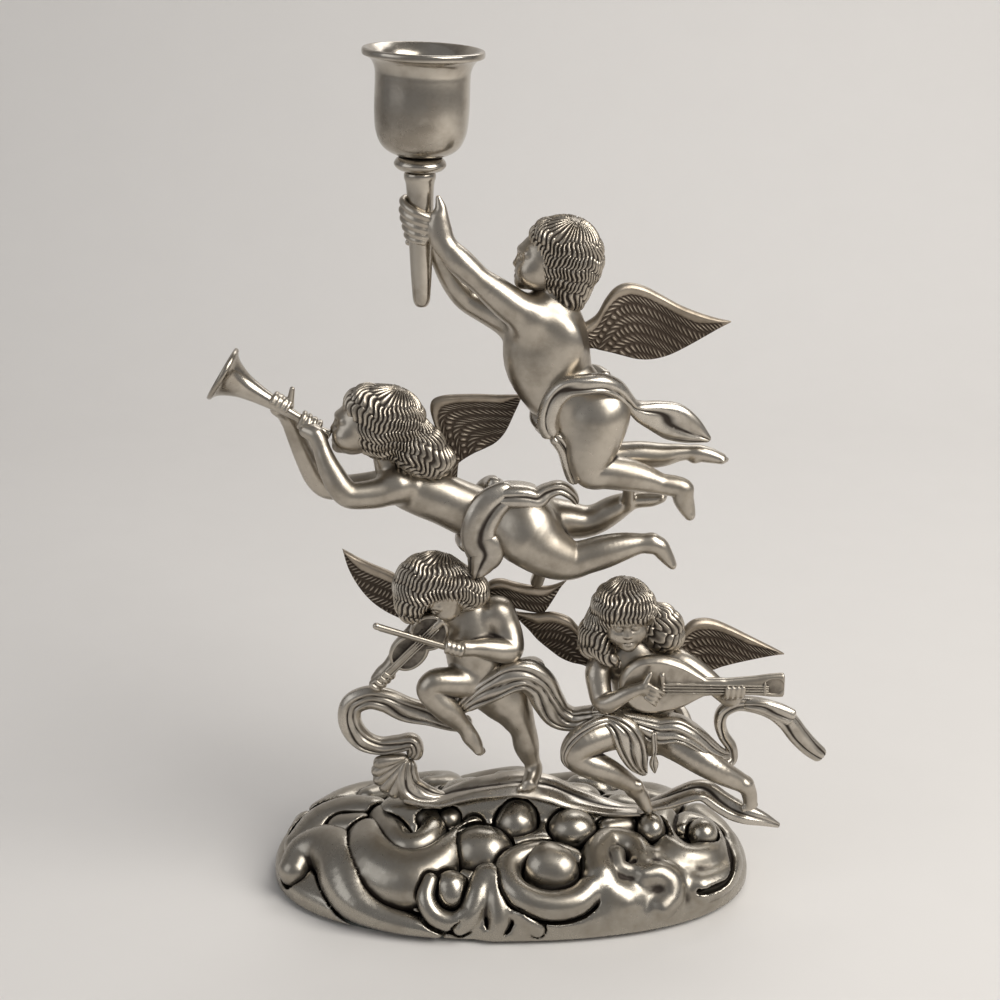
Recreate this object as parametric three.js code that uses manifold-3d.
// Angel candlestick: an oval cloud base, ribbons, four winged cherubs and a candle cup on a torch.
// Millimetres, +Z up. The origin is the centre of the underside; +X is the viewer's right, -Y the front.
// Figures are given in the deck frame, whose origin is the centre of the base's upper face.

import * as THREE from 'three';
import { mergeVertices } from 'three/addons/utils/BufferGeometryUtils.js';
import Module from 'manifold-3d';

const wasm = await Module();
wasm.setup();

// Base
const BASE_LENGTH = 163;
const BASE_DEPTH = 97;
const BASE_HEIGHT = 28.8;
const OVAL_POWER = 2.3;
const CLOUD_SWELL = 1.22;
const CLOUD_PROUD = 1.2;
const CLOUD_LEAN = { x: -0.3, y: -0.75 };
const CLOUD_ROOT = 4;
const BASE_WALL = 5;
const DECK_THICKNESS = 8;
const FELT_THICKNESS = 1.2;
const FELT_INSET = 2.5;
const GLUE_LINE = 0.1;

// Screws that hold the ribbon to the base
const SCREW_RADIUS = 1.8;
const SCREW_HEAD_RADIUS = 3.4;
const SCREW_HEAD_HEIGHT = 2.4;
const SCREW_BITE = 4;
const SCREW_Y = -6;
const SCREW_X = { left: -10, right: 25 };
const BOSS_TOP = { left: 4.4, right: -1.2 };
const BOSS_RADIUS = 4.4;
const BOSS_DEPTH = 4;

// Torch, stud, collar and cup
const TORCH_X = -28.4;
const TORCH_FOOT = 170.3;
const TORCH_LENGTH = 42.5;
const TORCH_FOOT_RADIUS = 2.6;
const TORCH_TOP_RADIUS = 4.9;
const STUD_RADIUS = 2;
const STUD_SUNK = 8;
const STUD_REACH = 2.4;
const COLLAR_RADIUS = 8.1;
const COLLAR_HEIGHT = 4.8;
const CUP_RADIUS = 14.5;
const CUP_RIM_RADIUS = 18.7;
const CUP_HEIGHT = 32.2;
const CUP_WALL = 1.8;
const CUP_FLOOR = 4.2;
const CUP_LEAN = THREE.MathUtils.degToRad(2.5);

// Trumpet
const TRUMPET_LENGTH = 39.9;
const TRUMPET_BELL_RADIUS = 9.2;
const TRUMPET_BORE_DEPTH = 10;
const TRUMPET_TILT = THREE.MathUtils.degToRad(-58.4);
const TRUMPET_MOUTH = [-58.3, -2, 128.6];

// Violin and lute
const VIOLIN_CHIN = [-20.4, -12, 70];
const VIOLIN_SLOPE = THREE.MathUtils.degToRad(-134.3);
const VIOLIN_HALF_DEPTH = 2.2;
const BOW_RADIUS = 0.9;
const LUTE_FACE_Y = -16.6;

// Fits and facets
const JOINT_GAP = 0.3;
const MERGE_TOLERANCE = 1e-4;
const LIMB_SIDES = 6;
const TORSO_SIDES = 8;
const BAND_SIDES = 6;
const LUTE_SIDES = 10;
const CLOUD_SIDES = 8;
const TURNED_SEGMENTS = 16;
const CUP_SEGMENTS = 20;
const BASE_SEGMENTS = 24;
const SMALL_BALL = 5.5;
const SMALL_BALL_FACETS = [6, 4];
const BALL_FACETS = [9, 6];
const CUT_SIZE = 200;
const FINGER = 1.6;

const DEPTH_AXIS = new THREE.Vector3(0, 1, 0);
const UP_AXIS = new THREE.Vector3(0, 0, 1);

/** Merged, closed solid of a geometry, its faces pointing outwards. */
function solidOf(geometry) {
  const bare = new THREE.BufferGeometry();
  bare.setAttribute('position', geometry.attributes.position.clone());
  bare.setIndex(geometry.index);
  const merged = mergeVertices(bare, MERGE_TOLERANCE);
  const corners = merged.index.array;
  const kept = [];
  for (let i = 0; i < corners.length; i += 3) {
    const [a, b, c] = [corners[i], corners[i + 1], corners[i + 2]];
    if (a !== b && b !== c && c !== a) kept.push(a, b, c);
  }
  const vertProperties = Float32Array.from(merged.attributes.position.array);
  const triVerts = Uint32Array.from(kept);
  const solid = new wasm.Manifold(new wasm.Mesh({ numProp: 3, vertProperties, triVerts }));
  if (solid.volume() > 0) return solid;
  return new wasm.Manifold(new wasm.Mesh({ numProp: 3, vertProperties, triVerts: triVerts.reverse() }));
}

/** Geometry of a solid, ready for a mesh. */
function geometryOf(solid) {
  const { vertProperties, triVerts } = solid.getMesh();
  const geometry = new THREE.BufferGeometry();
  geometry.setAttribute('position', new THREE.BufferAttribute(vertProperties, 3));
  geometry.setIndex(new THREE.BufferAttribute(triVerts, 1));
  geometry.computeVertexNormals();
  return geometry;
}

/** Largest connected body of a solid, so that a cut never leaves loose chips. */
function mainBody(solid) {
  const bodies = solid.decompose();
  return bodies.reduce((best, body) => (body.volume() > best.volume() ? body : best));
}

/** Rings of points along a smooth path through stations [x, y, z, halfWidth, halfDepth]. */
function ringsAlong(stations, grow, { sides, up, steps, loop }) {
  const points = stations.map(([x, y, z]) => new THREE.Vector3(x, y, z));
  const path = new THREE.CatmullRomCurve3(points, loop, 'centripetal');
  const spans = loop ? points.length : points.length - 1;
  const count = spans * steps + (loop ? 0 : 1);
  const rings = [];
  const addRing = (centre, tangent, width, depth) => {
    const across = new THREE.Vector3().crossVectors(tangent, up).normalize();
    const inward = new THREE.Vector3().crossVectors(across, tangent);
    rings.push(Array.from({ length: sides }, (_, j) => {
      const angle = (2 * Math.PI * j) / sides;
      return centre.clone()
        .addScaledVector(across, width * Math.cos(angle))
        .addScaledVector(inward, depth * Math.sin(angle));
    }));
  };
  for (let i = 0; i < count; i += 1) {
    const at = i / steps;
    const from = stations[Math.floor(at) % stations.length];
    const to = stations[Math.min(Math.ceil(at), loop ? Infinity : spans) % stations.length];
    const blend = at - Math.floor(at);
    const width = THREE.MathUtils.lerp(from[3], to[3], blend) + grow;
    const depth = THREE.MathUtils.lerp(from[4] ?? from[3], to[4] ?? to[3], blend) + grow;
    const t = at / spans;
    const centre = path.getPoint(t);
    const tangent = path.getTangent(t);
    const reach = Math.min(width, depth);
    const shoulder = (side) => addRing(
      centre.clone().addScaledVector(tangent, side * reach * Math.SQRT1_2),
      tangent, width * Math.SQRT1_2, depth * Math.SQRT1_2,
    );
    const tip = (side) => rings.push([centre.clone().addScaledVector(tangent, side * reach)]);
    if (!loop && i === 0) {
      tip(-1);
      shoulder(-1);
    }
    addRing(centre, tangent, width, depth);
    if (!loop && i === count - 1) {
      shoulder(1);
      tip(1);
    }
  }
  return rings;
}

/** Geometry that joins rings of points; a ring of one point closes an end. */
function skin(rings, loop) {
  const starts = [];
  const positions = [];
  for (const ring of rings) {
    starts.push(positions.length / 3);
    for (const point of ring) positions.push(point.x, point.y, point.z);
  }
  const index = [];
  const last = loop ? rings.length : rings.length - 1;
  for (let i = 0; i < last; i += 1) {
    const next = (i + 1) % rings.length;
    const sides = Math.max(rings[i].length, rings[next].length);
    for (let j = 0; j < sides; j += 1) {
      const k = (j + 1) % sides;
      const [a, b] = [starts[i] + (j % rings[i].length), starts[i] + (k % rings[i].length)];
      const [c, d] = [starts[next] + (j % rings[next].length), starts[next] + (k % rings[next].length)];
      if (rings[i].length > 1) index.push(a, c, b);
      if (rings[next].length > 1) index.push(b, c, d);
    }
  }
  const geometry = new THREE.BufferGeometry();
  geometry.setAttribute('position', new THREE.Float32BufferAttribute(positions, 3));
  geometry.setIndex(index);
  return geometry;
}

// A form is a function of how far the shape is grown on every side; it returns a solid.

/** Tapered tube with round ends; a loop closes on itself. */
function tube(stations, { sides = LIMB_SIDES, up = DEPTH_AXIS, steps = 1, loop = false } = {}) {
  return (grow) => solidOf(skin(ringsAlong(stations, grow, { sides, up, steps, loop }), loop));
}

/** Ball with three half-axes, tilted about the front-to-back axis. */
function ball([x, y, z], [rx, ry, rz], tilt = 0) {
  return (grow) => {
    const facets = Math.max(rx, ry, rz) < SMALL_BALL ? SMALL_BALL_FACETS : BALL_FACETS;
    const geometry = new THREE.SphereGeometry(1, ...facets);
    geometry.rotateX(Math.PI / 2);
    geometry.scale(rx + grow, ry + grow, rz + grow);
    geometry.rotateY(THREE.MathUtils.degToRad(tilt));
    geometry.translate(x, y, z);
    return solidOf(geometry);
  };
}

/** Turned piece about +Z from [radius, height] points, placed by a matrix. */
function turned(profile, place = new THREE.Matrix4(), segments = TURNED_SEGMENTS) {
  const geometry = new THREE.LatheGeometry(profile.map(([r, z]) => new THREE.Vector2(r, z)), segments);
  geometry.rotateX(Math.PI / 2);
  geometry.applyMatrix4(place);
  return solidOf(geometry);
}

/** Upright round bar between two heights, as a turned piece. */
function bar(radius, low, high, place) {
  return turned([[0, low], [radius, low], [radius, high], [0, high]], place);
}

/** One form made of several that run into each other. */
function join(...forms) {
  return (grow) => forms.map((form) => form(grow)).reduce((whole, next) => whole.add(next));
}

/** Matrix that only moves. */
function shift(x, y, z) {
  return new THREE.Matrix4().makeTranslation(x, y, z);
}

// Materials
const castSilver = new THREE.MeshStandardMaterial({ color: 0xa39d93, roughness: 0.32, metalness: 1 });
const shadedSilver = new THREE.MeshStandardMaterial({ color: 0x7d766c, roughness: 0.42, metalness: 1 });
const brightSilver = new THREE.MeshStandardMaterial({ color: 0xb3ada2, roughness: 0.24, metalness: 1 });
const screwSteel = new THREE.MeshStandardMaterial({ color: 0x8c8f93, roughness: 0.4, metalness: 1 });
const greyFelt = new THREE.MeshStandardMaterial({ color: 0x3a3f3a, roughness: 0.95, metalness: 0 });

const candlestick = new THREE.Group();
const deck = new THREE.Group();
deck.position.z = FELT_THICKNESS + GLUE_LINE + BASE_HEIGHT;
candlestick.add(deck);

const fitted = [];

/** Whether two bounding boxes come within the joint gap of each other. */
function near(a, b) {
  return [0, 1, 2].every((i) => a.min[i] - JOINT_GAP < b.max[i] && b.min[i] - JOINT_GAP < a.max[i]);
}

/** Adds a piece to a group, cut to clear every piece fitted before it by the joint gap. */
function fit(name, form, material) {
  let solid = form(0);
  const box = solid.boundingBox();
  for (const other of fitted) {
    if (near(box, other.box)) solid = solid.subtract(other.grown);
  }
  fitted.push({ grown: form(JOINT_GAP).add(form(JOINT_GAP / 2)).add(form(0)), box });
  addMesh(name, mainBody(solid), material, deck);
}

/** Adds a finished solid to a group as a named mesh. */
function addMesh(name, solid, material, group) {
  const mesh = new THREE.Mesh(geometryOf(solid), material);
  mesh.name = name;
  group.add(mesh);
}

// Torch and cup: the cup's group leans with the stud that the cup turns on.

const torchTop = TORCH_FOOT + TORCH_LENGTH;
const cupGroup = new THREE.Group();
cupGroup.position.set(TORCH_X, 0, torchTop);
cupGroup.rotation.y = CUP_LEAN;
cupGroup.updateMatrix();
deck.add(cupGroup);

const studTop = COLLAR_HEIGHT + STUD_REACH;

/** Stud from the torch's socket up into the cup's foot. */
function stud(grow) {
  return bar(STUD_RADIUS + grow, -STUD_SUNK - grow, studTop + grow, cupGroup.matrix);
}

/** Plain tapered torch handle with a round foot. */
function torchHandle(grow) {
  const step = (TORCH_TOP_RADIUS - TORCH_FOOT_RADIUS) / TORCH_LENGTH;
  const radiusAt = (height) => TORCH_FOOT_RADIUS + step * height + grow;
  const profile = [
    [0, -grow],
    [radiusAt(0) * 0.62, 0.4 - grow],
    [radiusAt(0) * 0.95, 1.8],
    [radiusAt(6), 6],
    [radiusAt(TORCH_LENGTH / 2), TORCH_LENGTH / 2],
    [radiusAt(TORCH_LENGTH) - 0.4, TORCH_LENGTH - 3],
    [radiusAt(TORCH_LENGTH), TORCH_LENGTH - 1],
    [radiusAt(TORCH_LENGTH), TORCH_LENGTH + grow],
    [0, TORCH_LENGTH + grow],
  ];
  return turned(profile, shift(TORCH_X, 0, TORCH_FOOT));
}

addMesh('cup_stud', stud(0), screwSteel, deck);
addMesh('torch', torchHandle(0).subtract(stud(JOINT_GAP)), brightSilver, deck);
fitted.push({ grown: torchHandle(JOINT_GAP), box: torchHandle(0).boundingBox() });

const studHole = STUD_RADIUS + JOINT_GAP;
const collarProfile = [
  [studHole, JOINT_GAP],
  [TORCH_TOP_RADIUS, JOINT_GAP],
  [COLLAR_RADIUS * 0.9, COLLAR_HEIGHT * 0.22],
  [COLLAR_RADIUS, COLLAR_HEIGHT * 0.52],
  [COLLAR_RADIUS * 0.9, COLLAR_HEIGHT * 0.82],
  [COLLAR_RADIUS * 0.74, COLLAR_HEIGHT],
  [studHole, COLLAR_HEIGHT],
  [studHole, JOINT_GAP],
];
addMesh('cup_collar', turned(collarProfile), brightSilver, cupGroup);

const cupFoot = COLLAR_HEIGHT + JOINT_GAP;
const cupBore = CUP_RADIUS - CUP_WALL;
const cupProfile = [
  [0, cupFoot + STUD_REACH],
  [studHole, cupFoot + STUD_REACH],
  [studHole, cupFoot],
  [COLLAR_RADIUS * 0.74, cupFoot],
  [CUP_RADIUS * 0.62, cupFoot + 0.7],
  [CUP_RADIUS * 0.84, cupFoot + 3.3],
  [CUP_RADIUS * 0.96, cupFoot + 7.3],
  [CUP_RADIUS, cupFoot + 13],
  [CUP_RADIUS, cupFoot + CUP_HEIGHT - 7],
  [CUP_RADIUS + (CUP_RIM_RADIUS - CUP_RADIUS) * 0.25, cupFoot + CUP_HEIGHT - 4.2],
  [CUP_RIM_RADIUS - 0.6, cupFoot + CUP_HEIGHT - 1.5],
  [CUP_RIM_RADIUS, cupFoot + CUP_HEIGHT - 0.6],
  [CUP_RIM_RADIUS - 0.4, cupFoot + CUP_HEIGHT],
  [CUP_RIM_RADIUS - CUP_WALL, cupFoot + CUP_HEIGHT - 0.6],
  [cupBore + (CUP_RIM_RADIUS - CUP_RADIUS) * 0.2, cupFoot + CUP_HEIGHT - 4],
  [cupBore, cupFoot + CUP_HEIGHT - 7],
  [cupBore, cupFoot + CUP_FLOOR + 2],
  [cupBore - 2, cupFoot + CUP_FLOOR],
  [0, cupFoot + CUP_FLOOR],
];
addMesh('candle_cup', turned(cupProfile, new THREE.Matrix4(), CUP_SEGMENTS), brightSilver, cupGroup);

// Instruments, which the hands are then fitted round

/** Trumpet along its own axis from the mouthpiece to the hollow bell. */
function trumpet(grow) {
  const bell = TRUMPET_BELL_RADIUS;
  const end = TRUMPET_LENGTH;
  const profile = [
    [0, -grow],
    [1.9 + grow, -grow],
    [1.6 + grow, 1.4],
    [1.4 + grow, 4],
    [1.7 + grow, 14],
    [2.5 + grow, 21],
    [bell * 0.35 + grow, end - 13],
    [bell * 0.49 + grow, end - 7.6],
    [bell * 0.75 + grow, end - 3],
    [bell + grow, end - 0.4],
    [bell - 0.4 + grow, end + grow],
    [bell * 0.62, end - 2.6],
    [bell * 0.32, end - TRUMPET_BORE_DEPTH * 0.7],
    [0, end - TRUMPET_BORE_DEPTH],
  ];
  const place = shift(...TRUMPET_MOUTH).multiply(new THREE.Matrix4().makeRotationY(TRUMPET_TILT));
  return turned(profile, place);
}
fit('trumpet', trumpet, brightSilver);

/** Stations on the violin's axis from [distance from the chin rest, half-width, half-depth]. */
function onViolin(rows) {
  const [x, y, z] = VIOLIN_CHIN;
  return rows.map(([distance, width, depth = VIOLIN_HALF_DEPTH]) => [
    x + distance * Math.sin(VIOLIN_SLOPE), y, z + distance * Math.cos(VIOLIN_SLOPE), width, depth,
  ]);
}

const violinBody = [[0, 4.4], [3, 6.6], [7, 7.2], [12.5, 4.7], [17.5, 6], [20.5, 5.6], [23, 3]];
const violin = join(
  tube(onViolin(violinBody), { sides: BAND_SIDES }),
  tube(onViolin([[21, 1.6, 1.5], [30, 1.3, 1.3], [34, 1.6, 1.8], [35.4, 1.9, 1.9]])),
);
fit('violin', violin, castSilver);
fit('bow', tube([
  [-43.5, -17.8, 69.8, BOW_RADIUS], [-30, -17.8, 65.3, BOW_RADIUS], [-13.5, -17.8, 60.2, BOW_RADIUS],
]), castSilver);

const luteShell = join(
  tube([
    [33.6, -13.5, 46.4, 3, 3], [36.5, -13.5, 46.5, 7, 4.4], [43, -13.5, 46.7, 10.2, 5],
    [49.5, -13.5, 46.7, 10, 4.8],
    [57, -13.8, 46.5, 6.6, 4], [64, -14.5, 46.4, 3.4, 2.6], [69, -15, 46.5, 2.9, 2],
  ], { sides: LUTE_SIDES }),
  tube([
    [66, -15, 46.4, 3.2, 1.9], [76, -15, 46.8, 3.2, 1.8], [83, -15, 47, 3.8, 2],
    [88.4, -15, 47.2, 4.2, 2.2],
  ]),
);

/** Lute with its flat sound board towards the viewer. */
function lute(grow) {
  const front = new THREE.BoxGeometry(CUT_SIZE, CUT_SIZE, CUT_SIZE);
  front.translate(0, LUTE_FACE_Y - grow - CUT_SIZE / 2, 0);
  return luteShell(grow).subtract(solidOf(front));
}
fit('lute', lute, castSilver);

// Ribbons that lie on the base

const bosses = Object.entries(SCREW_X).map(([side, x]) => (grow) => (
  bar(BOSS_RADIUS + grow, -BOSS_DEPTH - grow, BOSS_TOP[side], shift(x, SCREW_Y, 0))
));
const ribbonUp = new THREE.Vector3(0, 0.93, 0.37).normalize();
const groundRibbon = join(
  tube([
    [-33.4, -6, 18, 2.8, 2.4], [-37.2, -6.6, 14.8, 5, 2.8], [-39.4, -8, 9.4, 6.2, 3.2],
    [-37.4, -8.8, 4, 5, 4.4], [-30, -8, 1.2, 2, 5.4], [-24, -7.4, 0.9, 1.6, 5.6], [-18, -7, 2.9, 1.6, 5.8],
    [-11.5, -7, 4.8, 1.6, 5.8], [1, -7, 6.5, 1.6, 5.9], [7, -7, 6, 1.6, 5.9], [13, -7, 4.6, 1.6, 5.8],
    [20, -7, 1.6, 1.6, 5.6], [26, -7, -0.4, 1.6, 5.4], [32.5, -7, -2.3, 1.6, 5.2], [39.4, -7.2, -3.5, 1.6, 5],
    [45, -7.5, -3.8, 1.6, 5],
  ], { sides: BAND_SIDES, up: ribbonUp }),
  ...bosses,
);
const screwHole = SCREW_RADIUS + JOINT_GAP;
const screwTip = -BOSS_DEPTH + SCREW_BITE;
const ribbonHoles = Object.values(SCREW_X)
  .map((x) => bar(screwHole, -BASE_HEIGHT, screwTip + JOINT_GAP, shift(x, SCREW_Y, 0)))
  .reduce((whole, hole) => whole.add(hole));
addMesh('ground_ribbon', groundRibbon(0).subtract(ribbonHoles), castSilver, deck);
fitted.push({ grown: groundRibbon(JOINT_GAP), box: groundRibbon(0).boundingBox() });
fit('ribbon_end', tube([
  [43, -7.5, -3.7, 1.5, 4.8], [48, -7.8, -1, 1.5, 4.4], [52.5, -8, 0.8, 1.5, 4], [58, -8, 3.2, 1.5, 3.7],
  [63, -8, 4.9, 1.5, 3.6], [66, -8.2, 4.7, 1.5, 3.6], [71, -9, 1, 1.6, 3.6], [75.5, -10, -1.5, 1.6, 3.6],
  [80, -10.8, -2.7, 1.5, 3.4], [85, -10.2, -4.8, 1.3, 2.6], [91.4, -8.5, -8.7, 0.7, 0.8],
], { sides: BAND_SIDES }), castSilver);

// Cherub bodies: torso, limbs, hands and feet

const violinCherub = join(
  tube([
    [-14.5, -3, 72, 4], [-13.5, -3, 66, 7.5, 6.5], [-13, -3.5, 60, 9.3, 8], [-11.5, -4, 50.5, 9.8, 8.5],
    [-6.5, -3.5, 41.5, 9.5, 8.5], [-3, -3, 37, 8.5, 8],
  ], { sides: TORSO_SIDES }),
  tube([
    [-4.5, -3.5, 67.5, 5.4], [-1.5, -6, 61, 5], [-0.5, -9.4, 55.6, 4.6], [-8, -13.5, 58.5, 3.6],
    [-15, -16, 59.8, 2.6],
  ]),
  ball([-18.4, -16.8, 60.6], [3.4, BOW_RADIUS + FINGER, 2.8]),
  tube([[-20, -3, 66.5, 5], [-31, -5.5, 61, 4.2], [-38, -9, 53, 3], [-42.6, -10.5, 48.6, 2.4]]),
  ball([-43.4, -11, 47.6], [1.9 + FINGER, 1.9 + FINGER, 3.2]),
  tube([
    [-10, -5, 41.8, 7.4], [-16, -9.4, 45.2, 5.7], [-25.6, -13.6, 47.4, 4.9], [-24.6, -13.8, 41, 4.9],
    [-17.6, -13, 33, 3.6], [-14.4, -12.8, 28.6, 2.9], [-11.8, -13, 24, 2.5], [-10, -13.4, 20.8, 1.3],
  ]),
  tube([
    [-1, -3, 39, 7.6], [1.2, -4.5, 32.4, 6.5], [3.8, -5, 26, 4.9], [5.2, -4.8, 19.6, 4.5],
    [7.2, -4.8, 13.2, 3], [7.3, -6.4, 9.8, 3], [6, -10, 7.6, 2.6],
  ]),
);
fit('violin_cherub_body', violinCherub, castSilver);

const luteCherub = join(
  tube([
    [39.6, -4, 57.5, 4], [40.5, -4, 52, 8.5, 6], [43, -3.5, 43, 9.5, 7.5], [44.5, -3, 33, 10, 8],
    [45, -3, 26, 10.5, 8.5],
  ], { sides: TORSO_SIDES }),
  tube([
    [33, -4.4, 50.8, 5.3], [28.8, -9.4, 48.8, 4.6], [29.6, -13.6, 41.6, 4], [32, -17, 41.4, 3.5],
    [37.6, -18.9, 45.7, 2.6], [43.4, -19.4, 48, 2.3], [47.6, -19.3, 46.4, 2.4],
  ]),
  tube([
    [52, -3.5, 50.6, 5.4], [58.9, -8, 49.8, 4.4], [67.2, -10.6, 44.6, 3.4], [70, -11.6, 42, 2.9],
    [73, -12.8, 41, 2.6],
  ]),
  ball([73.6, -14.8, 45], [3.6, 1.8 + FINGER, 2.7 + FINGER]),
  tube([
    [39, -6, 26, 7], [29.6, -13, 28, 6.3], [21.4, -17, 24.4, 5.3], [25.6, -16.2, 18.8, 5],
    [33.2, -15, 14.8, 4.4], [41.5, -12.6, 7.8, 2.9], [44.8, -12.6, 2.2, 2.4], [47, -12.6, -0.8, 1.8],
  ]),
  tube([
    [53, -6, 24, 7], [60, -11.6, 21, 5.9], [67.5, -14.4, 16.4, 4.7], [74, -13.8, 12.2, 3.8],
    [79.2, -13, 8, 2.9], [80.3, -13.2, 4.2, 2.6], [80.6, -13.8, 0.8, 2.2],
  ]),
);
fit('lute_cherub_body', luteCherub, castSilver);

const trumpetCherub = join(
  tube([
    [-39.5, -0.5, 117.5, 4.4], [-35, 0, 111.5, 7.4, 6.5], [-24, 0, 107, 8.4, 8], [-11.5, 0, 101, 9, 8],
    [1, -2, 98.5, 10.5, 9.5], [6, -3, 96, 9.5, 9],
  ], { sides: TORSO_SIDES }),
  tube([
    [-37, -5, 112.5, 5.2], [-46, -8, 110.6, 4.6], [-53.5, -9.5, 111.5, 4.3], [-58.5, -8.5, 120, 3.7],
    [-61.4, -6.5, 128.3, 2.7],
  ]),
  ball([-63, -3.2, 132.6], [3.4, 1.6 + FINGER + 1, 4]),
  tube([
    [-40, 5, 110.5, 4.6], [-52, 6.5, 108.3, 4.2], [-62, 6.5, 108.5, 3.9], [-67.5, 5, 121, 3.4],
    [-72, 2.8, 132.5, 2.7], [-73.4, 2.4, 138, 2.6],
  ]),
  ball([-73.6, -1, 138.4], [4, 2.2 + FINGER + 0.6, 4.6]),
  tube([
    [5, -5, 95, 9.8], [12, -6, 90.5, 8.6], [19, -6, 87.2, 6.3], [30.4, -5.5, 90.4, 5.3],
    [41.8, -5, 92.8, 3.4],
    [47, -5, 92.4, 3.2], [52.6, -5, 85, 1.7],
  ]),
  tube([
    [8, 4, 98, 8], [17, 5.5, 97.3, 6.6], [26.5, 6, 96.3, 5.1], [33, 6, 100.5, 4.3], [39, 5.5, 103.8, 3],
    [45, 5, 104.5, 2.6], [50.5, 4.5, 105.5, 1.4],
  ]),
  tube([[38, 4, 103, 2], [38, -2, 114, 2]]),
  tube([[10.5, -3, 86, 2.3], [8.5, 4, 76, 2.3]]),
);
fit('trumpet_cherub_body', trumpetCherub, castSilver);

const gripRadius = TORCH_TOP_RADIUS * 0.85;
const torchCherub = join(
  tube([
    [12.8, 0, 174.5, 4.4], [11.2, 0, 167.5, 10, 7.5], [11, 0, 157, 14, 9.5], [14.2, 0, 146.5, 12.6, 9],
    [21, -1, 138, 11.5, 9.5], [26, -2, 131.5, 9.5, 9],
  ], { sides: TORSO_SIDES }),
  tube([
    [5.8, -3.5, 168, 6.2], [-3.2, -5, 174.5, 5.3], [-11.2, -6, 181.4, 4.2], [-15.8, -6, 185.8, 4.3],
    [-22.5, -4.5, 193, 2.9],
  ]),
  ball([TORCH_X - 1, -1.8, 198], [gripRadius + FINGER + 0.8, gripRadius + FINGER, 6.2]),
  tube([[-22.5, -4.5, 193, 2.9], [-24, -3.6, 200, 2.6], [-23.4, -3, 206, 1.6]]),
  tube([[0, 4, 164.5, 5.6], [-13.9, 5.5, 171.5, 4.4], [-18.5, 5, 178, 4], [-23.5, 3, 187, 2.8]]),
  ball([TORCH_X - 0.6, 1.8, 192.4], [gripRadius + FINGER + 0.4, gripRadius + FINGER, 5.6]),
  tube([
    [26.5, -3.5, 133, 9.2], [25, -4.5, 125, 8.6], [24.2, -5.5, 118, 6], [36.4, -4.5, 116.3, 5.2],
    [47.8, -4, 112.8, 3.4], [55.5, -4, 110.5, 3.2], [58.4, -4, 102.3, 1.6],
  ]),
  tube([
    [26, 4, 131, 8.2], [30, 6, 118.3, 5.3], [42, 6.3, 119.4, 3.8], [55.5, 6.3, 120, 2.5], [63, 6, 119.6, 2.3],
    [70, 5.5, 117.8, 1.2],
  ]),
);
fit('torch_cherub_body', torchCherub, castSilver);

// Heads: hair, face, chin and nose

fit('violin_cherub_head', join(
  ball([-26, -5.5, 77.5], [12.8, 11, 12]),
  ball([-16, -4, 76], [9.5, 9.5, 7.5]),
  ball([-23.5, -10.5, 73], [7.5, 7, 8.5], 25),
  ball([-26, -13.5, 67], [3, 2.8, 3]),
), shadedSilver);
fit('lute_cherub_head', join(
  ball([38.4, -3, 67.3], [12, 11, 12]),
  ball([28, -4, 57.5], [7, 7.5, 9.5], 12),
  ball([52, -3, 61.5], [7, 7.5, 9.5], -14),
  ball([38.7, -9.5, 64], [7.4, 6.5, 9]),
  ball([38.7, -16, 64.6], [1.3, 1.3, 1.5]),
  ball([38.7, -13.2, 57.6], [2.8, 2.4, 2.4]),
), shadedSilver);
fit('trumpet_cherub_head', join(
  ball([-40, -2, 133], [12.6, 10.5, 12]),
  ball([-30, -2.5, 124.5], [9, 9.5, 8.5], 20),
  ball([-25.5, -2.5, 120.8], [7, 8, 5.8]),
  ball([-46, -2, 138.6], [8, 8.6, 6.8]),
  ball([-48.4, -2, 130.5], [7.5, 7.2, 9.2]),
  ball([-52, -2, 124.4], [3.4, 3.6, 3.2]),
  ball([-55.6, -2, 133.4], [1.6, 1.4, 1.8]),
), shadedSilver);
fit('torch_cherub_head', join(
  ball([17.3, 0, 186.3], [11.2, 10.2, 13]),
  ball([17, 0.5, 174.8], [6, 6.5, 6]),
  ball([10, 0, 193.6], [6.6, 8.4, 5.6]),
  ball([9.3, 0, 184.4], [7.9, 7.4, 9.4]),
  ball([5.4, 0, 179.6], [3.6, 4.4, 3.4]),
  ball([1.8, 0, 187.6], [1.6, 1.4, 1.9]),
), shadedSilver);

// Drapery: sashes and tails that wrap the hips

const torchSashUp = new THREE.Vector3(0.35, 0, 0.94).normalize();
fit('hip_sash', join(
  tube([
    [-16.4, -10.4, 36.8, 3.2, 2.8], [-11, -11.2, 41.7, 4.4, 3], [-5.4, -11.4, 45.2, 5, 3.2],
    [0.3, -11, 48.2, 5.6, 3.4], [5, -10.2, 48.2, 5.7, 3.5], [9.4, -9.2, 44.4, 5.7, 3.4],
    [12.2, -8.6, 38.4, 5.5, 3.3], [15.6, -8.2, 33.2, 5, 3.2],
    [21, -8, 31.2, 4.1, 3], [28.6, -9.2, 32.2, 3.2, 2.8],
  ], { sides: BAND_SIDES }),
  tube([
    [9.5, -6, 46.5, 2.4, 4], [7.5, 2.5, 45, 2.2, 4], [-1, 6.5, 41, 2.2, 4], [-11, 5, 37.5, 2.2, 4],
    [-16, -2, 36.5, 2.4, 4], [-14.8, -9, 37.3, 2.4, 4],
  ], { up: UP_AXIS }),
), castSilver);
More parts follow.
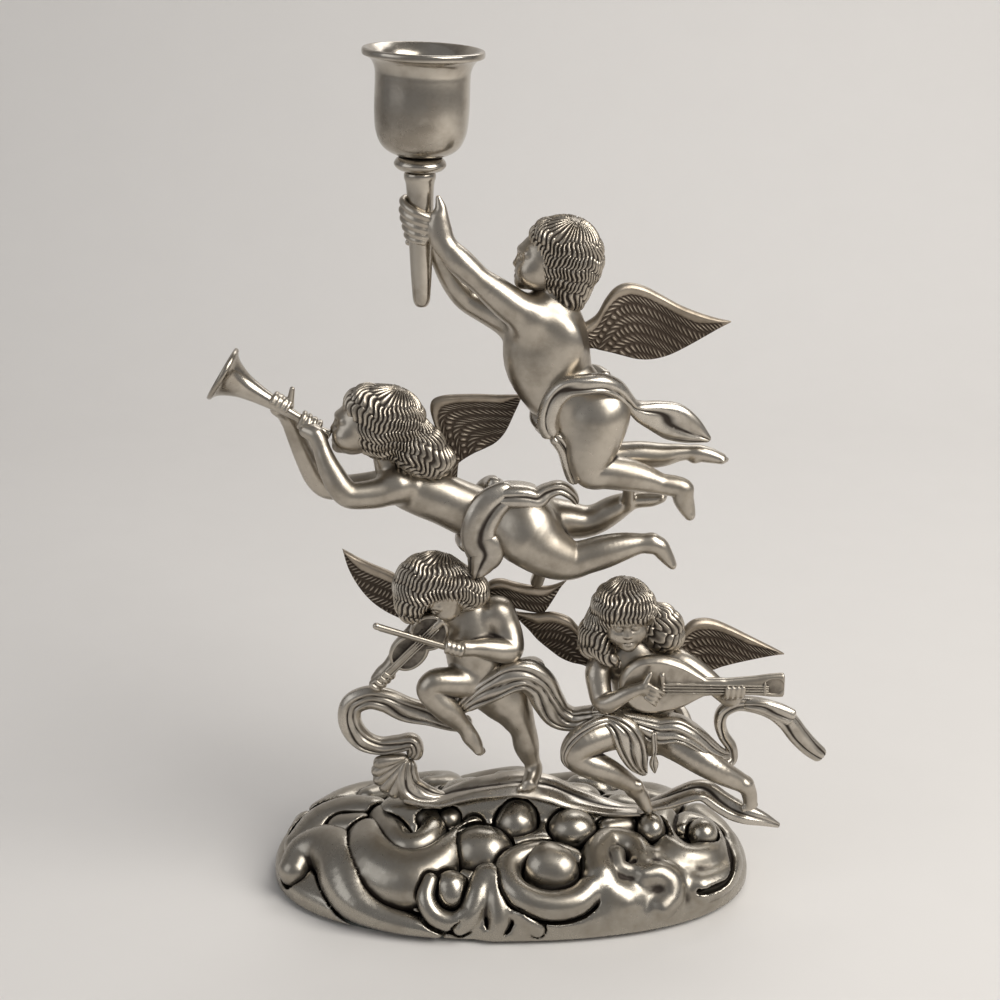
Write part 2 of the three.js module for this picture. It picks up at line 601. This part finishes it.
fit('lap_drape', join(
  tube([
    [28, -9.5, 32.8, 2.8, 3.2], [35, -12, 32, 4.1, 4.2], [46, -13, 30, 5.1, 5], [55, -13, 29.4, 5.1, 4.8],
    [60, -12.8, 26, 4.4, 4.4], [66, -12, 21, 3.6, 3.8], [73.2, -9.4, 17.2, 1.8, 2],
  ]),
  tube([
    [38, -13.2, 31.4, 6.6, 3.2], [40.4, -14.6, 27, 6.2, 3.2], [42.2, -14.8, 20.4, 3.6, 2.7],
    [43.2, -14.2, 14.4, 1, 1.1],
  ]),
  tube([[47.6, -15.4, 29, 2.4, 2.6], [47.6, -16.2, 20, 1.7, 1.6], [47.6, -16.2, 14.6, 0.8, 0.8]]),
  tube([
    [32, -8, 30.5, 2.4, 4.5], [34.5, 3, 29.5, 2.2, 4.5], [45, 6, 28.5, 2.2, 4.5], [55.5, 3, 27.5, 2.2, 4.5],
    [58.5, -8, 25, 2.4, 4],
  ], { up: UP_AXIS }),
), castSilver);
fit('trumpet_cherub_drape', join(
  tube([
    [-4, -3, 110.8, 2.6, 4.4], [-5, 4, 109.4, 2.6, 4.6], [-8, 7.2, 106, 2.6, 4.6], [-12, 6.6, 96.5, 2.6, 4.6],
    [-14, -2, 92.4, 2.6, 4.6], [-12.4, -7.6, 92, 2.6, 4],
  ], { up: new THREE.Vector3(0.9, 0, -0.43).normalize() }),
  tube([
    [-7, -4.4, 109.4, 3.3, 5], [4.4, -4.8, 109.2, 4.2, 5.4], [8.4, -4.6, 108.6, 3.5, 4.6],
    [15.6, -4, 111.4, 3, 3], [19.5, -3.5, 109, 2.2, 2.4], [21.2, -3.5, 105.8, 1, 1],
  ]),
  tube([
    [1, -4.6, 111.6, 3.4, 3], [-7, -8.2, 106.6, 5.8, 2.9],
    [-10.5, -9.3, 98.4, 5.8, 2.8], [-8.6, -9.4, 91.6, 6, 2.8],
    [-10.6, -8.2, 86, 3.9, 2.6], [-11.8, -7, 81.4, 1, 1.2],
  ]),
), castSilver);
fit('torch_cherub_drape', join(
  tube([
    [12.5, -7, 131, 2.6, 3.6], [9, 0, 133, 2.6, 3.8], [11, 7.6, 136.5, 2.6, 3.8], [18, 10, 143, 2.6, 3.8],
    [26.6, 7.4, 146.2, 2.6, 3.6], [31, 1, 145.4, 2.6, 3.2],
  ], { up: torchSashUp }),
  tube([
    [12.9, -7.6, 129.7, 2.9, 2.8], [11.3, -9, 137, 3.5, 2.9],
    [14.4, -10.2, 145, 3.5, 3], [22.7, -10.4, 147.9, 3.4, 3],
    [29, -8.6, 147.6, 3.4, 3.1], [36.4, -3.4, 140.9, 2.8, 3],
    [41.5, -0.5, 136.2, 3.7, 2.9], [47, 1.3, 134, 5.4, 2.9],
    [52, 2.2, 132, 6.2, 2.7], [58, 3.2, 128.8, 4.6, 2.2], [64.4, 4, 125.2, 1, 1],
  ]),
  tube([
    [13, -6.6, 131, 2.9, 2.9], [17, -5.2, 125, 2.8, 2.9],
    [18.8, -5, 120.3, 3.1, 2.8], [20.3, -4.2, 113, 1.9, 2],
  ]),
), castSilver);

// Free ribbons

fit('ribbon_curl', tube([
  [-14, -6, 28.6, 3.2, 2.4], [-20.4, -5.2, 28.8, 3, 2.4],
  [-27.3, -5, 31.3, 3.8, 2.4], [-35.4, -5, 33.5, 4.4, 2.4],
  [-42.2, -5.3, 37, 4.2, 2.4], [-47.9, -5.5, 38, 4.1, 2.4],
  [-53.3, -5.8, 35.3, 4, 2.4], [-54, -6, 29, 4, 2.4],
  [-50.2, -6, 22.8, 3.8, 2.4], [-44.3, -6, 20.4, 3.3, 2.4], [-37.9, -6, 21.2, 3.1, 2.4],
  [-33.4, -6, 21.4, 3, 2.5], [-32.6, -6, 17, 2.9, 2.4],
], { sides: BAND_SIDES }), castSilver);
fit('ribbon_tail', tube([
  [70, -9.5, 15.8, 2.6, 2.2], [74.5, -8, 18, 2.6, 2.2], [73, -7.5, 23, 2.6, 2.2], [70.4, -7, 28.5, 2.6, 2.2],
  [70, -7, 33.4, 2.7, 2.2], [73.4, -6.5, 36.6, 2.8, 2.2], [79, -6, 36.6, 3, 2.2], [86, -5.5, 33.8, 3.6, 2.2],
  [92, -5, 28.5, 4, 2.2], [98, -5, 21.5, 3.8, 2.2], [103.5, -4.5, 15.6, 3.2, 1.8], [107, -4, 12.2, 1.8, 1.2],
], { sides: BAND_SIDES }), castSilver);

// Wings, from the shoulder blade to the tip

/** Thin wing through stations from the shoulder to the tip. */
function wing(stations) {
  return tube(stations, { sides: BAND_SIDES });
}

fit('violin_cherub_wing_left', wing([
  [-26, 3, 67.5, 6.5, 2], [-33, 4, 69.5, 8, 1.9], [-40, 4.6, 72.5, 7.8, 1.8], [-46.5, 5.4, 76.5, 6, 1.6],
  [-52, 6, 81.5, 3.2, 1.3], [-56, 6, 86.8, 0.8, 0.8],
]), shadedSilver);
fit('violin_cherub_wing_right', wing([
  [-8, 2.5, 72.5, 4.2, 2], [-1, 3.6, 71.5, 5, 1.9], [5, 4.4, 70.6, 5.4, 1.8], [10, 5, 70.4, 5.4, 1.6],
  [14.6, 5.5, 72.4, 3.8, 1.3], [18.4, 6, 76.4, 0.8, 0.8],
]), shadedSilver);
fit('lute_cherub_wing_left', wing([
  [33, 2.5, 51.5, 6, 2], [27, 3.5, 53, 7, 1.9], [20, 4, 54.5, 7, 1.8], [13.5, 4.2, 57.5, 6.2, 1.6],
  [7, 4.2, 61.5, 3.4, 1.3], [2, 4, 65, 0.8, 0.8],
]), shadedSilver);
fit('lute_cherub_wing_right', wing([
  [51, 2.5, 51.5, 4.5, 2], [57, 3, 53.5, 5.5, 1.9], [64, 4, 53.4, 8.6, 1.8], [72, 5, 52.2, 7, 1.6],
  [82, 5.8, 50, 4, 1.3], [91.8, 6, 49.3, 0.8, 0.8],
]), shadedSilver);
fit('trumpet_cherub_wing', wing([
  [-20, 3, 112.5, 2.8, 2], [-19, 4.2, 120, 4.4, 2], [-18.4, 4.8, 126, 7.4, 1.8], [-15, 5, 131.2, 10.4, 1.8],
  [-8, 5, 133.6, 8.6, 1.6], [-2, 4.6, 136.4, 5.2, 1.3], [3.2, 3.8, 140.8, 1, 0.8],
]), shadedSilver);
fit('torch_cherub_wing', wing([
  [19, 4, 158.5, 4.4, 2.2], [24, 4.5, 160, 4.8, 2], [30.5, 5.2, 163, 8.4, 1.9], [37.5, 6, 165, 11.2, 1.8],
  [46, 7, 162.3, 9.7, 1.6], [57, 8, 162, 5, 1.3], [69.6, 8.5, 164, 0.8, 0.8],
]), shadedSilver);

// Cloud base: a hollow oval mound of rolled clouds, bedded under the ribbons

/** Full-cornered oval from [fraction of the half-size, height] points. */
function ovalSolid(profile, halfLength, halfDepth) {
  const points = profile.map(([r, z]) => new THREE.Vector2(r, z));
  const geometry = new THREE.LatheGeometry(points, BASE_SEGMENTS);
  geometry.rotateX(Math.PI / 2);
  const position = geometry.attributes.position;
  for (let i = 0; i < position.count; i += 1) {
    const [x, y] = [position.getX(i), position.getY(i)];
    const round = Math.hypot(x, y);
    const full = (Math.abs(x) ** OVAL_POWER + Math.abs(y) ** OVAL_POWER) ** (1 / OVAL_POWER);
    const stretch = full > 0 ? round / full : 1;
    position.setXY(i, x * stretch * halfLength, y * stretch * halfDepth);
  }
  return solidOf(geometry);
}

const halfLength = BASE_LENGTH / 2;
const halfDepth = BASE_DEPTH / 2;
const MOUND_PROFILE = [
  [0, 0], [0.985, 0], [1, 0.05], [1, 0.14], [0.985, 0.22], [0.93, 0.31], [0.84, 0.43], [0.7, 0.56],
  [0.56, 0.66], [0.42, 0.8], [0, 0.9],
];
const mound = ovalSolid(MOUND_PROFILE.map(([r, z]) => [r, (z - 1) * BASE_HEIGHT]), halfLength, halfDepth);
const ceiling = -DECK_THICKNESS;
const hollow = ovalSolid(
  [
    [0, -BASE_HEIGHT - 1], [1, -BASE_HEIGHT - 1], [0.98, -BASE_HEIGHT * 0.82], [0.86, -BASE_HEIGHT * 0.68],
    [0.64, -BASE_HEIGHT * 0.53], [0.44, ceiling], [0, ceiling],
  ],
  halfLength - BASE_WALL,
  halfDepth - BASE_WALL,
);

// Clouds as rows of [x, y, height above the foot, radius] on the surface of a base of CLOUD_PLAN's size
const CLOUD_PLAN = { length: 163, depth: 97, height: 28.8 };
const CLOUDS = {
  seat: [
    [-42, -6, 26.6, 6], [-30, -6, 27.6, 5.6], [-24, -5.6, 27.6, 5.4],
    [-16, -5.4, 29.8, 5.4], [-6, -5.4, 32, 5.6],
    [2, -5.4, 32.8, 5.6], [8, -5.4, 32.2, 5.6], [14, -5.4, 30.6, 5.4],
    [20, -5.4, 28, 5.4], [26, -5.6, 26.2, 5.4],
    [33, -6, 24.4, 5.6],
    [45, -6, 23.4, 5.6],
  ],
  skirt: [
    [-6, -48, 3.2, 3], [8, -47.4, 4.6, 4.6], [26, -45, 6.6, 6.4], [42, -40, 8.4, 7.6], [56, -32, 9, 7.6],
    [68, -21, 8.6, 6.4], [76, -8, 7.6, 4.4],
  ],
  leftLobe: [
    [-77, -19, 8.5, 4.6], [-74.6, -13.5, 13, 5.4], [-68, -15, 16.6, 6.8], [-62, -24.5, 16, 8],
    [-59, -33, 12.4, 8], [-54, -40, 8, 5.8], [-45.2, -43.6, 5, 4], [-34.9, -46.4, 3.6, 3],
  ],
  leftShoulder: [[-76.6, -6, 11.4, 5], [-70.5, 3.5, 16.4, 6.8], [-60.5, 6, 20, 6.8], [-51.5, 3.5, 22, 5.6]],
  leftBud: [[-55.5, -9, 20.6, 5.8], [-61, -6.5, 19.4, 4.8]],
  bigRoll: [
    [-52, -17.5, 20.4, 7.6], [-51.6, -27, 18, 8.8], [-45.6, -35.5, 14.4, 9.8], [-36.5, -39, 14, 9.4],
    [-27.5, -34.5, 18.4, 6.6], [-20.4, -25.6, 22.4, 4.6],
  ],
  leftScroll: [
    [-46, -4, 22.8, 4.8], [-42.6, -15.5, 22.5, 4.4], [-35.6, -24.6, 21.8, 4], [-29.4, -21.6, 23.2, 3.8],
    [-27.4, -12, 25, 3.6],
  ],
  leftBall: [[-12, -27.6, 22.2, 7.8], [-9.4, -28, 22, 7.8]],
  middleBall: [[1.8, -14.6, 28, 5.8], [2.4, -11.4, 29.4, 5.4]],
  rightBall: [[19.4, -19.6, 24, 7], [22.6, -18.6, 23.8, 6.8]],
  frontBall: [[12.6, -36, 20, 7.4], [16, -36.8, 19, 7]],
  frontBud: [[-20.6, -43, 15.6, 4.6], [-20, -44, 13.6, 4]],
  fanLeft: [[-8.6, -39, 18, 3.6], [-11.6, -45.2, 13, 3.4], [-14, -48.4, 7.4, 3]],
  fanMiddle: [[-6, -39.2, 18, 3.4], [-4.8, -45.6, 12.6, 3.5], [-4, -48.6, 7, 3.2]],
  fanRight: [[-3.6, -40.4, 17, 3], [1.6, -46, 12, 3.2], [5.6, -48.8, 7.2, 3]],
  frontScroll: [
    [16, -25.2, 23, 2.8], [6, -26.4, 23, 3.2], [-1, -34, 20.2, 3.6], [0.6, -43.6, 15.4, 3.7],
    [10.6, -47.8, 11.6, 4], [22, -46.2, 12.2, 4], [28.6, -39.6, 16.2, 3.6],
  ],
  rightScroll: [
    [30.6, -38, 17, 5], [30.4, -29, 21, 4.8], [34.6, -21, 22.6, 4.2], [42.2, -22.6, 21.2, 4],
    [44.4, -29.4, 19, 3.6], [40.6, -33.4, 18.4, 3],
  ],
  rightRise: [[34, -14.5, 23.6, 3.4], [40, -11.6, 23.4, 3.4], [46, -13.6, 22.2, 5], [47.6, -12, 22, 4.8]],
  rightRing: [
    [55, -2.6, 21.4, 4], [53, -11, 21.2, 4.2], [54.6, -20, 19.6, 4.4], [60.6, -25.6, 16.8, 4.8],
    [67.6, -22.6, 15.4, 5], [71, -14, 15.8, 4.8], [69, -5.6, 17.8, 4.6], [63, -3, 19.4, 3.8],
  ],
  rightEdge: [[77, -9, 10.8, 3.2], [76.6, -18, 10.4, 3.4], [72.6, -27, 9.4, 3.8], [65, -33.4, 9.6, 4]],
  rearLeftScroll: [
    [-70, 12, 15, 6], [-62, 22, 15, 6.6], [-53, 29, 14, 6.4], [-48, 24, 17.4, 5.2], [-52, 17, 19.4, 3.8],
  ],
  rearSecondScroll: [
    [-44, 37, 11, 5.4], [-34, 40, 11.6, 6.2], [-25, 36, 15, 6], [-24, 28, 18.6, 5], [-30, 25, 19.8, 3.8],
  ],
  rearThirdScroll: [
    [-16, 43, 9.6, 5], [-6, 43.6, 11.2, 6], [3, 39.6, 15, 6.2], [4, 31, 19, 5.2], [-3, 28.6, 20.2, 4],
  ],
  rearFourthScroll: [
    [14, 43, 9.6, 5], [24, 42.4, 10.6, 5.8], [32, 37, 14, 6], [32.6, 29, 18, 5.2], [25.4, 26.6, 19.6, 4],
  ],
  rearRightScroll: [
    [44, 36, 10, 5.4], [53, 30.6, 12.4, 6], [58.6, 22, 15, 5.8], [55.6, 15, 18, 4.8], [48.6, 16, 19.6, 3.8],
  ],
  rearBallOne: [[-40, 12, 21.8, 7], [-36, 15, 21.6, 6.6]],
  rearBallTwo: [[-19, 16, 23.8, 7.4], [-15, 18, 23.4, 7]],
  rearBallThree: [[3, 14, 24.6, 7], [6, 15, 24.4, 6.6]],
  rearBallFour: [[24, 14, 23.2, 7], [27, 14, 22.8, 6.8]],
  rearBallFive: [[42, 5, 22.6, 6.4], [46, 3, 22.2, 6]],
  rearRightEdge: [[70, 13, 13, 5.4], [74.6, 4, 12.6, 5], [76.6, -4, 12.2, 4.2]],
  rearLeftEdge: [[-76.6, 2, 11.4, 4], [-75, 10, 11.6, 4.6]],
};

/** Cloud as a form, sunk towards the middle of the mound until it stands a little proud of its rows. */
function cloud(rows) {
  const stations = rows.map(([x, y, z, r]) => {
    const radius = CLOUD_SWELL * r;
    const inward = new THREE.Vector3(CLOUD_LEAN.x * x, CLOUD_LEAN.y * y, CLOUD_ROOT - z)
      .setLength(radius - CLOUD_PROUD);
    return [
      (x + inward.x) * (BASE_LENGTH / CLOUD_PLAN.length),
      (y + inward.y) * (BASE_DEPTH / CLOUD_PLAN.depth),
      (z + inward.z) * (BASE_HEIGHT / CLOUD_PLAN.height) - BASE_HEIGHT,
      radius,
    ];
  });
  return tube(stations, { sides: CLOUD_SIDES });
}

const underside = new THREE.BoxGeometry(2 * BASE_LENGTH, 2 * BASE_DEPTH, BASE_HEIGHT);
underside.translate(0, 0, -1.5 * BASE_HEIGHT);
const baseHoles = Object.values(SCREW_X)
  .map((x) => bar(screwHole, -BASE_HEIGHT - 1, 0, shift(x, SCREW_Y, 0)))
  .reduce((whole, hole) => whole.add(hole));

/** Whole base; the hollow, screw holes and flat foot are cut last. */
function cloudBase() {
  return Object.values(CLOUDS)
    .reduce((whole, rows) => whole.add(cloud(rows)(0)), mound)
    .subtract(hollow)
    .subtract(solidOf(underside))
    .subtract(baseHoles);
}
fit('cloud_base', cloudBase, shadedSilver);

// Screws and felt

for (const [side, x] of Object.entries(SCREW_X)) {
  const head = ceiling - GLUE_LINE;
  const profile = [
    [0, head - SCREW_HEAD_HEIGHT],
    [SCREW_HEAD_RADIUS, head - SCREW_HEAD_HEIGHT],
    [SCREW_HEAD_RADIUS, head],
    [SCREW_RADIUS, head],
    [SCREW_RADIUS, screwTip],
    [0, screwTip],
  ];
  addMesh(`base_screw_${side}`, turned(profile, shift(x, SCREW_Y, 0)), screwSteel, deck);
}

const felt = ovalSolid(
  [[0, 0], [1, 0], [1, FELT_THICKNESS], [0, FELT_THICKNESS]],
  halfLength - FELT_INSET,
  halfDepth - FELT_INSET,
);
addMesh('felt_pad', felt, greyFelt, candlestick);

export default candlestick;
